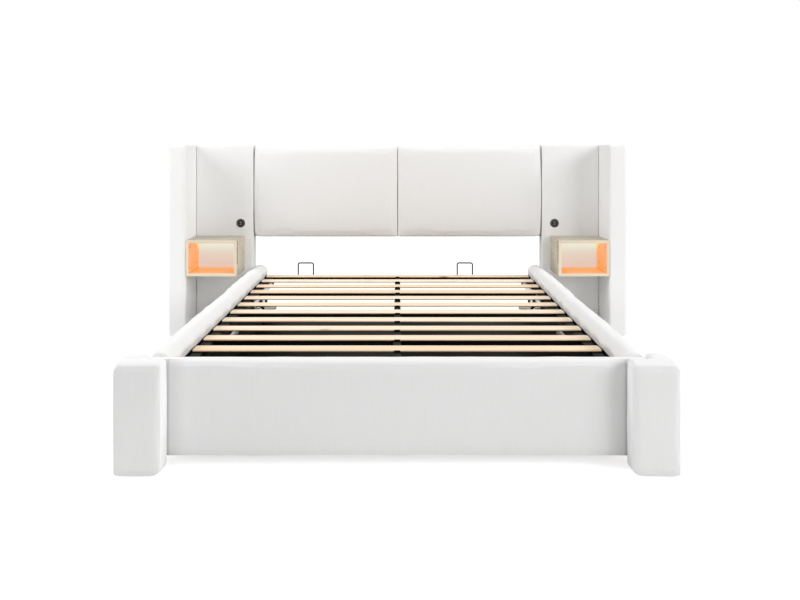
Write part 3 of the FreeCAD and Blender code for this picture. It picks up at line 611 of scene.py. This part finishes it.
def swell(points, box, amounts):
    # every face bulges in the middle: a^3 (1 - b^4)(1 - c^4) of the amount, a b c from -1 to 1 in the box
    low, high = boxCorners(box)
    unit = np.clip((points - (low + high) / 2) / ((high - low) / 2), -1, 1)
    moved = points.copy()
    for axis in range(3):
        others = [i for i in range(3) if i != axis]
        fall = (1 - unit[..., others[0]] ** 4) * (1 - unit[..., others[1]] ** 4)
        moved[..., axis] += amounts[axis] * unit[..., axis] ** 3 * fall
    return moved


ripples = {"waves": 8, "shortest": 0.6, "longest": 1.7, "phase": 6.28, "calm": 3}


def ripple(points, seed, depth, length):
    # slow unevenness of hand-pulled cloth: a sum of plane waves with seeded directions
    rng = np.random.default_rng(seed)
    moved = np.zeros(points.shape[:-1])
    for wave in range(ripples["waves"]):
        way = rng.normal(size=3)
        way /= np.linalg.norm(way)
        long = length * rng.uniform(ripples["shortest"], ripples["longest"])
        moved += np.sin(points @ way * 2 * math.pi / long + rng.uniform(0, ripples["phase"]))
    return moved * depth / ripples["calm"]


def ringMesh(name, rings):
    # quads from ring to ring; the end rings are already shrunk to a line, and merging closes them
    count, around = rings.shape[:2]
    index = np.arange(count * around).reshape(count, around)
    quads = np.stack([
        index[:-1], np.roll(index, -1, 1)[:-1], np.roll(index, -1, 1)[1:], index[1:]], -1).reshape(-1, 4)
    mesh = bpy.data.meshes.new(name)
    mesh.from_pydata(rings.reshape(-1, 3).tolist(), [], quads.tolist())
    shaped = bmesh.new()
    shaped.from_mesh(mesh)
    bmesh.ops.remove_doubles(shaped, verts=shaped.verts, dist=0.00005)
    bmesh.ops.recalc_face_normals(shaped, faces=shaped.faces)
    shaped.to_mesh(mesh)
    shaped.free()
    mesh.polygons.foreach_set("use_smooth", np.ones(len(mesh.polygons), bool))
    return mesh


laid = {"frontFirst": 0.6, "sideShift": 0.37, "topShift": 0.61}


def weaveMap(mesh):
    # the cloth is laid on from the side that a face looks to: u across, v up, both in metres
    corners = np.empty(len(mesh.loops), int)
    mesh.loops.foreach_get("vertex_index", corners)
    totals = np.empty(len(mesh.polygons), int)
    mesh.polygons.foreach_get("loop_total", totals)
    normals = np.empty(len(mesh.polygons) * 3)
    mesh.polygons.foreach_get("normal", normals)
    normals = np.abs(np.repeat(normals.reshape(-1, 3), totals, 0))
    point = vertexValues(mesh, "co")[corners]
    frontal = (normals[:, 1] >= normals[:, 0]) & (normals[:, 1] >= normals[:, 2] * laid["frontFirst"])
    level = (normals[:, 2] > normals[:, 0]) & ~frontal
    u = np.where(frontal | level, point[:, 0], point[:, 1] + laid["sideShift"])
    v = np.where(level, point[:, 1] + laid["topShift"], point[:, 2])
    layer = mesh.uv_layers.new(name="weave")
    layer.data.foreach_set("uv", np.stack([u, v], 1).ravel())


def nodeBox(node):
    low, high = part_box(node)
    return (low.x, high.x, low.y, high.y, low.z, high.z)


def upholster(node, name, rings, box, look):
    # bulge and unevenness, then held inside the node's own box; the cloth is blown up once all pads are there
    mesh = ringMesh(name, swell(rings, box, look["swell"]))
    places = vertexValues(mesh, "co")
    out = ripple(places, look["seed"], look["uneven"], look["unevenLength"]) - look["slack"]
    places = places + vertexValues(mesh, "normal") * out[:, None]
    if "puff" in look:
        puffQueue.append((mesh, box, look))
    low, high = boxCorners(box)
    setPlaces(mesh, offBoard(np.clip(places, low + look["clear"], high - look["clear"]), look))
    weaveMap(mesh)
    mesh.materials.append(finishes["upholstery_fabric"])
    piece = linked(name, mesh)
    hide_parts(node)
    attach(piece, "root")


railBoard = {
    "inner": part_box("side_rail_boards_right")[0].x, "top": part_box("side_rail_boards_right")[1].z,
    "behind": 0.0006, "above": 0.002, "easeIn": 0.012,
}
held = {
    "backShare": 0.25, "front": 0.012, "underside": 0.02, "railEnd": 0.01, "railInner": 0.012,
    "railLow": 0.10, "railTop": 0.006,
}


def heldBack(points, box):
    # the last part of the depth, which sits on the board
    return points[:, 1] > box[3] - held["backShare"] * (box[3] - box[2])


def heldFront(points, box):
    # the face against the slab in front, and the underside
    return (points[:, 1] < box[2] + held["front"]) | (points[:, 2] < box[4] + held["underside"])


def heldLow(points, box):
    # a rail is held by its board, low down, up the inner side to the board's top, and at both ends
    ends = (points[:, 1] < box[2] + held["railEnd"]) | (points[:, 1] > box[3] - held["railEnd"])
    inner = np.abs(points[:, 0]) < railBoard["inner"] + held["railInner"]
    beside = inner & (points[:, 2] < railBoard["top"] + held["railTop"])
    return (points[:, 2] < box[4] + held["railLow"]) | ends | beside


def offBoard(places, look):
    # the rail's cloth stays behind the face of the board, which shows inside the bed
    if "belly" in look:
        low = places[:, 2] < railBoard["top"] + railBoard["above"]
        way = np.sign(places[low, 0])
        places[low, 0] = way * np.maximum(np.abs(places[low, 0]), railBoard["inner"] + railBoard["behind"])
    return places


# cloth settings: shell grid, pressure, frames and stiffness; then how its motion is passed on to a pad
cover = {
    "voxel": 0.011, "pressure": 4.0, "frames": 20, "tension": 30.0, "shear": 15.0, "bending": 0.6,
    "near": 24, "soft": 0.01, "inwards": 0.15,
}
puffQueue = []


def blownShells(queue, cover):
    # every queued pad gets an even shell, pinned where it meets its board, and Cloth blows all of them up
    # at once over the same frames; gives each shell's points before and after
    scene = bpy.context.scene
    shells = []
    for mesh, box, look in queue:
        even = linked("evenShell", mesh.copy())
        remesh = even.modifiers.new("evenGrid", "REMESH")
        remesh.mode = "VOXEL"
        remesh.voxel_size = cover["voxel"]
        bpy.context.view_layer.update()
        shape = bpy.data.meshes.new_from_object(even.evaluated_get(bpy.context.evaluated_depsgraph_get()))
        even.modifiers.clear()
        even.data = shape
        start = vertexValues(shape, "co")
        pinned = even.vertex_groups.new(name="held")
        pinned.add(np.flatnonzero(look["puff"]["held"](start, box)).tolist(), 1.0, "REPLACE")
        sim = even.modifiers.new("cloth", "CLOTH")
        sim.settings.use_pressure = True
        sim.settings.uniform_pressure_force = cover["pressure"]
        sim.settings.effector_weights.gravity = 0.0
        sim.settings.vertex_group_mass = "held"
        sim.settings.tension_stiffness = cover["tension"]
        sim.settings.compression_stiffness = cover["tension"]
        sim.settings.shear_stiffness = cover["shear"]
        sim.settings.bending_stiffness = cover["bending"]
        sim.settings.shrink_min = -look["puff"]["spare"]
        sim.point_cache.frame_start, sim.point_cache.frame_end = 1, cover["frames"]
        shells.append((even, start))
    for frameNumber in range(1, cover["frames"] + 1):
        scene.frame_set(frameNumber)
    graph = bpy.context.evaluated_depsgraph_get()
    moves = []
    for even, start in shells:
        moves.append((start, vertexValues(even.evaluated_get(graph).to_mesh(), "co") - start))
    scene.frame_set(1)
    for even, start in shells:
        bpy.data.objects.remove(even)
    return moves


def applyPuff(queue, cover):
    # a pad's point moves along its normal by the mean of its nearest shell points, weighed by nearness,
    # outwards up to the cap and inwards by a little of it, so the sewn edges stay where they are
    for (mesh, box, look), (start, move) in zip(queue, blownShells(queue, cover)):
        tree = KDTree(len(start))
        for index, point in enumerate(start.tolist()):
            tree.insert(point, index)
        tree.balance()
        places, normals = vertexValues(mesh, "co"), vertexValues(mesh, "normal")
        found = [tree.find_n(point, cover["near"]) for point in places.tolist()]
        near = np.array([[hit[1] for hit in hits] for hits in found])
        weight = 1 / (np.array([[hit[2] for hit in hits] for hits in found]) + cover["soft"])
        mean = (move[near] * weight[..., None]).sum(1) / weight.sum(1)[:, None]
        cap, past = look["puff"]["cap"], look["puff"]["past"]
        outward = np.clip((mean * normals).sum(1), -cover["inwards"] * cap, cap)
        low, high = boxCorners(box)
        places = np.clip(places + normals * outward[:, None], low - past, high + past)
        setPlaces(mesh, offBoard(places, look))
        print("  cloth:", mesh.name, "out by", round(float(outward.max()) * 1000, 1), "mm")


post = {
    "radii": (0.029, 0.011, 0.026, 0.014), "draws": (0.007, 0.004, 0.002, 0.017),
    "rolls": (0.012, 0.005, 0.003, 0.032), "backDraws": (0.014, 0.003, 0.0, 0.015),
    "backRolls": (0.014, 0.005, 0.003, 0.028), "swell": (0.0012, 0.0015, 0.0), "uneven": 0.0005,
    "unevenLength": 0.16, "slack": 0.0012, "clear": 0.0001, "fill": 0.8, "seed": 11,
    "crown": 0.0015, "backCrown": 0.0, "middle": 6, "counts": {"corner": 9, "wide": 16, "tall": 40},
    "puff": {"held": heldBack, "spare": 0.004, "cap": 0.0025, "past": (0.0005, 0.0015, -0.0001)},
}
postSide = {
    "radii": (0.011, 0.011, 0.026, 0.020), "draws": (0.004, 0.003, 0.0, 0.012),
    "rolls": (0.010, 0.005, 0.003, 0.022), "backDraws": (0.005, 0.018, 0.0, 0.030),
    "backRolls": (0.030, 0.040, 0.003, 0.064), "swell": (0.001, 0.0, 0.0), "uneven": 0.0005,
    "unevenLength": 0.12, "slack": 0.0008, "clear": 0.0001, "fill": 0.8, "seed": 12,
    "crown": 0.0, "backCrown": 0.0, "middle": 8, "counts": {"corner": 9, "wide": 6, "tall": 36},
    "lean": 0.015, "leanFrom": 0.338, "leanTo": 0.362,
    "puff": {"held": heldFront, "spare": 0.004, "cap": 0.0025, "past": (0.0005, 0.0, -0.0001)},
}
rail = {
    "radii": (0.009, 0.009, 0.038, 0.038), "draws": (0.005, 0.008, 0.003, 0.010),
    "rolls": (0.020, 0.024, 0.010, 0.026), "backDraws": (0.005, 0.008, 0.003, 0.010),
    "backRolls": (0.020, 0.024, 0.010, 0.026), "swell": (0.0015, 0.0, 0.0015), "uneven": 0.0011,
    "unevenLength": 0.17, "slack": 0.0008, "clear": 0.0001, "fill": 0.75, "seed": 24,
    "crown": 0.004, "backCrown": 0.004, "middle": 64, "counts": {"corner": 12, "wide": 4, "tall": 24},
    "belly": 0.007, "bellyLevel": 0.340, "bellyTall": 0.022, "bellyEnds": 0.03, "bellyAtEnd": 0.4,
    "puff": {"held": heldLow, "spare": 0.012, "cap": 0.0035, "past": (0.0, 0.0, 0.001)},
}
railHead = dict(
    rail, seed=rail["seed"] - 3, backDraws=(0.001, 0.006, 0.003, 0.003), backRolls=(0.010, 0.020, 0.010, 0.012))
foot = {
    "radii": (0.004, 0.004, 0.012, 0.012), "draws": (0.002, 0.002, 0.002, 0.022),
    "rolls": (0.006, 0.006, 0.003, 0.022), "backDraws": (0.004, 0.004, 0.004, 0.030),
    "backRolls": (0.008, 0.008, 0.006, 0.034), "swell": (0.0, 0.0012, 0.0), "uneven": 0.0005,
    "unevenLength": 0.22, "slack": 0.0012, "clear": 0.0001, "fill": 0.8, "seed": 31,
    "crown": 0.0015, "backCrown": 0.0, "middle": 6, "counts": {"corner": 6, "wide": 150, "tall": 28},
    "puff": {"held": heldBack, "spare": 0.003, "cap": 0.0025, "past": (-0.0001, 0.001, -0.0001)},
}
column = {
    "radii": (0.005, 0.005, 0.008, 0.008), "draws": (0.005, 0.004, 0.003, 0.008),
    "rolls": (0.006, 0.005, 0.004, 0.010), "backDraws": (0.004, 0.004, 0.002, 0.004),
    "backRolls": (0.005, 0.005, 0.004, 0.005), "swell": (0.0, 0.0012, 0.0), "uneven": 0.0005,
    "unevenLength": 0.25, "slack": 0.0003, "clear": 0.0001, "fill": 0.85, "seed": 41,
    "crown": 0.0015, "backCrown": 0.0, "middle": 6, "counts": {"corner": 5, "wide": 30, "tall": 90},
}
wing = {
    "radii": (0.006, 0.008, 0.010, 0.008), "draws": (0.009, 0.009, 0.003, 0.010),
    "rolls": (0.009, 0.010, 0.004, 0.011), "backDraws": (0.004, 0.004, 0.002, 0.004),
    "backRolls": (0.005, 0.005, 0.004, 0.005), "swell": (0.0008, 0.0, 0.0), "uneven": 0.0004,
    "unevenLength": 0.22, "slack": 0.0003, "clear": 0.0001, "fill": 0.85, "seed": 51,
    "crown": 0.001, "backCrown": 0.0, "middle": 16, "counts": {"corner": 5, "wide": 10, "tall": 90},
}


def mirroredLook(look, side):
    # on the left the two sides of every outline change places
    if side > 0:
        return look
    turned = {"radii": tuple(look["radii"][index] for index in (1, 0, 3, 2)), "seed": look["seed"] + 100}
    for key in ("draws", "rolls", "backDraws", "backRolls"):
        if key in look:
            turned[key] = tuple(look[key][index] for index in (1, 0, 2, 3))
    return dict(look, **turned)


rounding = {"power": 3.0, "face": 9, "roll": 13, "backRoll": 11, "back": 6}


def slab(node, name, look, side):
    # front face, front roll, straight sides, back roll, back face
    look = mirroredLook(look, side)
    box = nodeBox(node)
    y0, y1, power = box[2], box[3], rounding["power"]
    yFront, yBack = y0 + look["crown"], y1 - look["backCrown"]
    front = crowned(box, yFront, look["draws"], -look["crown"], power, rounding["face"])[::-1]
    frontRoll = rolled(yFront, 1, look["rolls"], look["draws"], rounding["roll"])[1:]
    backRoll = rolled(yBack, -1, look["backRolls"], look["backDraws"], rounding["backRoll"])[::-1]
    back = crowned(box, yBack, look["backDraws"], look["backCrown"], power, rounding["back"])[1:]
    span = np.linspace(frontRoll[-1][0], backRoll[0][0], look["middle"] + 2)[1:-1]
    sides = [(y, 0.0, 0.0, 0.0, 0.0, 1.0) for y in span]
    rings = stationRings(box, look["radii"], front + frontRoll + sides + backRoll + back, look["counts"])
    x, y, z = rings[..., 0], rings[..., 1], rings[..., 2]
    inner = np.clip((max(abs(box[0]), abs(box[1])) - np.abs(x)) / (box[1] - box[0]), 0, 1)
    inwards = 0.0
    if "belly" in look:
        # the rail's foam swells inwards above its board: amount times e to the -((z - level) / tall)^2
        inwards = side * look["belly"]
        ends = np.clip(np.minimum(y - y0, y1 - y) / look["bellyEnds"], 0, 1)
        bulge = np.exp(-((z - look["bellyLevel"]) / look["bellyTall"]) ** 2)
        bulge *= np.clip((z - railBoard["top"] - railBoard["above"]) / railBoard["easeIn"], 0, 1)
        share = look["bellyAtEnd"] + (1 - look["bellyAtEnd"]) * ends
        rings[..., 0] -= inwards * bulge * inner ** 4 * share
    elif "lean" in look:
        # the top leans in over the round shoulder of the rail, most at its inner edge
        inwards = side * look["lean"]
        rise = np.clip((z - look["leanFrom"]) / (look["leanTo"] - look["leanFrom"]), 0, 1)
        rings[..., 0] -= inwards * rise ** 2 * (3 - 2 * rise) * inner
    box = (min(box[0], box[0] - inwards), max(box[1], box[1] - inwards)) + box[2:]
    upholster(node, name, rings, box, look)


sides = ((-1, "left", "Left"), (1, "right", "Right"))
for side, word, title in sides:
    slab("foot_post_front_pad_" + word, "postFront" + title, post, side)
    slab("foot_post_side_pad_" + word, "postSide" + title, postSide, side)
    for end, look in (("foot", rail), ("head", railHead)):
        # every length of rail has its own unevenness
        own = dict(look, seed=look["seed"] + 7 * (side > 0))
        slab("side_rail_pad_" + word + "_" + end, "rail" + title + end.title(), own, side)
    slab("headboard_column_" + word, "column" + title, column, side)
    slab("headboard_wing_" + word, "wing" + title, wing, side)
slab("footboard_pad", "footboard", foot, 1)
print("upholstery: posts, rails, footboard, columns, wings")


cushion = {
    "radii": (0.012, 0.030, 0.012, 0.012), "edge": 0.028, "power": 9.0, "face": 30, "bulge": 0.007,
    "spread": 0.002, "flatAcross": 5.0, "flatUp": 20.0, "flatDown": 4.0, "soft": 3.0,
    "wall": (0.0006, 0.0018, 0.0036, 0.0054, 0.0066, 0.0072),
    "swell": (0.0, 0.0, 0.0), "uneven": 0.0006, "unevenLength": 0.3, "slack": 0.0, "clear": 0.0001,
    "fill": 0.7, "seed": 61, "counts": {"corner": 10, "wide": 84, "tall": 52},
    "puff": {"held": heldBack, "spare": 0.004, "cap": 0.0015, "past": (-0.0001, 0.002, -0.0001)},
}


def headboardCushion(node, name, look, side):
    # side wall from the seat to the seam line, then a face that stands out by the product of both axes:
    # ((1 - |a|^n)(1 - |b|^m))^(1/k) of the edge depth, a and b from -1 to 1 across and up
    look = mirroredLook(look, side)
    box = list(nodeBox(node))
    box[0 if side < 0 else 1] += side * look["spread"]      # foam presses against the column
    edge = box[2] + look["edge"]
    face = crowned(box, edge, (0, 0, 0, 0), -look["edge"], look["power"], look["face"])[::-1]
    depths = np.linspace(edge, box[3], len(look["wall"]) + 1)[1:]
    wall = [(y, d, d, d, d, 1.0) for y, d in zip(depths, look["wall"])]
    back = crowned(box, box[3], look["wall"][-1:] * 4, 0.0, 3.0, 8)[1:]
    rings = stationRings(box, look["radii"], face + wall + back, look["counts"])
    middle = (box[4] + box[5]) / 2
    level = (rings[..., 2] - middle) / ((box[5] - box[4]) / 2)
    across = (rings[..., 0] - (box[0] + box[1]) / 2) / ((box[1] - box[0]) / 2)
    flat = np.where(level > 0, look["flatUp"], look["flatDown"])
    proud = 1 - np.clip(np.abs(across), 0, 1) ** look["flatAcross"]
    proud = proud * (1 - np.clip(np.abs(level), 0, 1) ** flat)
    front = slice(0, len(face))
    rings[front, :, 1] = edge - (edge - rings[front, :, 1]) * proud[front] ** (1 / look["soft"])
    outer = np.clip(across * side, 0, 1) ** 3
    rings[..., 0] -= side * look["bulge"] * outer * level ** 2      # drawn in towards the corners
    upholster(node, name, rings, box, look)


for side, word, title in sides:
    headboardCushion("headboard_cushion_" + word, "cushion" + title, cushion, side)
print("upholstery: headboard cushions")

wrap = {
    "thick": 0.0012, "off": 0.0001, "fold": 0.030, "corner": 0.003, "steps": 4, "pitch": 0.02, "margin": 0.0005,
}


def panelWrap(node, name, look):
    # one strip of cloth pulled over the board: its profile in the Y-Z plane runs from the fold behind the top
    # edge over it, down the front and round the low edge to the fold behind; carried along X, and closed as a
    # thin shell
    box = nodeBox(node)
    quarter = np.linspace(0, math.pi / 2, look["steps"])
    reach, bend = look["thick"], look["corner"]

    def profile(off):
        y0, y1, z0, z1 = box[2] - off, box[3] + off, box[4] - off, box[5] + off
        turns = []
        for y, z, start in ((y1, z1, 0.0), (y0, z1, 0.5), (y0, z0, 1.0), (y1, z0, 1.5)):
            ySign, zSign = (1 if y == y1 else -1), (1 if z == z1 else -1)
            angle = start * math.pi + quarter
            turns.append(np.stack([
                y - ySign * bend + bend * np.cos(angle), z - zSign * bend + bend * np.sin(angle)], 1))
        fold = np.array([[y1, z1 - look["fold"]]])
        last = np.array([[y1, z0 + look["fold"]]])
        return np.concatenate([fold] + turns + [last])

    loop = np.concatenate([profile(reach), profile(look["off"])[::-1]])
    margin = look["margin"]
    across = np.linspace(box[0] + margin, box[1] - margin, int((box[1] - box[0]) / look["pitch"]))
    rings = np.stack([
        np.stack([np.full(len(loop), x), loop[:, 0], loop[:, 1]], 1) for x in across])
    ends = (rings[[0, -1]] + rings[[0, -1], ::-1]) / 2
    mesh = ringMesh(name, np.concatenate([ends[:1], rings, ends[1:]]))
    weaveMap(mesh)
    mesh.materials.append(finishes["upholstery_fabric"])
    piece = linked(name, mesh)
    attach(piece, "root")


panelWrap("headboard_back_panel", "panelCover", wrap)
print("upholstery: cover of the back panel")

if puffQueue:
    applyPuff(puffQueue, cover)
print("cloth simulation: pads", len(puffQueue))
